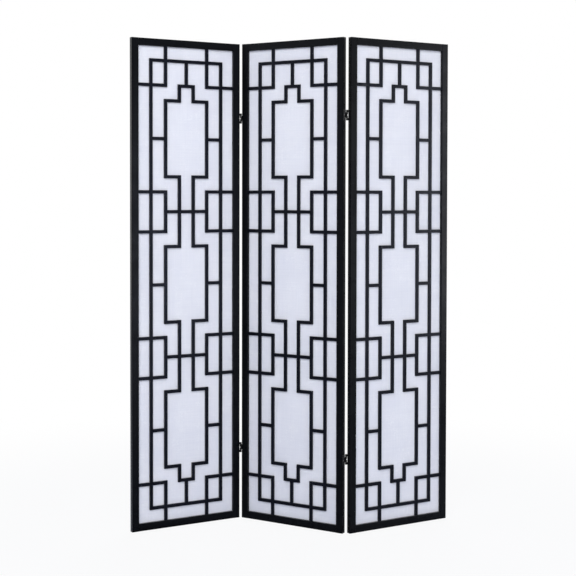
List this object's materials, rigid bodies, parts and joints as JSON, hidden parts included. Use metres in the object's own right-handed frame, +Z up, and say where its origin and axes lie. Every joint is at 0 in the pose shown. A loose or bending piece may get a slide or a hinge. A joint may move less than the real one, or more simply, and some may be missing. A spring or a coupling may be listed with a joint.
{
  "type": "shoji folding screen",
  "caption": "Free-standing shoji folding screen: black wood frames with halved-bar lattices over white paper, hinged to fold both ways and stand in a zigzag.",
  "frame": {"origin": "on the floor, under the centre of the middle panel", "axes": "+X along the screen to the viewer's right, +Y to its back, +Z up"},
  "size_m": [1.1679, 0.262, 1.785],
  "materials": {
    "frame_lacquer": "satin black lacquer",
    "lattice_lacquer": "satin black lacquer",
    "paper": "matte, translucent fibre",
    "hinge_black": "semi-gloss black",
    "pin_steel": "dark satin"
  },
  "bodies": {
    "middle_panel": {"left_lower_hinge_rear_pin": "pin_steel", "left_lower_hinge_right_leaf": "hinge_black", "left_upper_hinge_rear_pin": "pin_steel", "left_upper_hinge_right_leaf": "hinge_black", "middle_panel_bottom_rail": "frame_lacquer", "middle_panel_hinge_screws": "pin_steel", "middle_panel_lattice_crossbars": "lattice_lacquer", "middle_panel_lattice_uprights": "lattice_lacquer", "middle_panel_left_stile": "frame_lacquer", "middle_panel_paper": "paper", "middle_panel_paper_beads": "frame_lacquer", "middle_panel_right_stile": "frame_lacquer", "middle_panel_top_rail": "frame_lacquer", "right_lower_hinge_front_pin": "pin_steel", "right_lower_hinge_left_leaf": "hinge_black", "right_upper_hinge_front_pin": "pin_steel", "right_upper_hinge_left_leaf": "hinge_black"},
    "left_fold_links": {"left_lower_hinge_link": "hinge_black", "left_upper_hinge_link": "hinge_black"},
    "left_panel": {"left_lower_hinge_front_pin": "pin_steel", "left_lower_hinge_left_leaf": "hinge_black", "left_panel_bottom_rail": "frame_lacquer", "left_panel_hinge_screws": "pin_steel", "left_panel_lattice_crossbars": "lattice_lacquer", "left_panel_lattice_uprights": "lattice_lacquer", "left_panel_left_stile": "frame_lacquer", "left_panel_paper": "paper", "left_panel_paper_beads": "frame_lacquer", "left_panel_right_stile": "frame_lacquer", "left_panel_top_rail": "frame_lacquer", "left_upper_hinge_front_pin": "pin_steel", "left_upper_hinge_left_leaf": "hinge_black"},
    "right_fold_links": {"right_lower_hinge_link": "hinge_black", "right_upper_hinge_link": "hinge_black"},
    "right_panel": {"right_lower_hinge_rear_pin": "pin_steel", "right_lower_hinge_right_leaf": "hinge_black", "right_panel_bottom_rail": "frame_lacquer", "right_panel_hinge_screws": "pin_steel", "right_panel_lattice_crossbars": "lattice_lacquer", "right_panel_lattice_uprights": "lattice_lacquer", "right_panel_left_stile": "frame_lacquer", "right_panel_paper": "paper", "right_panel_paper_beads": "frame_lacquer", "right_panel_right_stile": "frame_lacquer", "right_panel_top_rail": "frame_lacquer", "right_upper_hinge_rear_pin": "pin_steel", "right_upper_hinge_right_leaf": "hinge_black"}
  },
  "joints": [
    {"name": "left_fold_rear_pins", "type": "hinge", "parent": "middle_panel", "child": "left_fold_links", "pos_m": [-0.18324, 0.1275, 0.9], "axis": [0, 0, 1], "range_deg": [-90, 0]},
    {"name": "left_fold_front_pins", "type": "hinge", "parent": "left_fold_links", "child": "left_panel", "pos_m": [-0.19416, 0.11016, 0.9], "axis": [0, 0, 1], "range_deg": [-62.3, 117.7]},
    {"name": "right_fold_front_pins", "type": "hinge", "parent": "middle_panel", "child": "right_fold_links", "pos_m": [0.18324, -0.1275, 0.9], "axis": [0, 0, 1], "range_deg": [-90, 0]},
    {"name": "right_fold_rear_pins", "type": "hinge", "parent": "right_fold_links", "child": "right_panel", "pos_m": [0.19416, -0.11016, 0.9], "axis": [0, 0, 1], "range_deg": [-63.4, 116.6]}
  ]
}
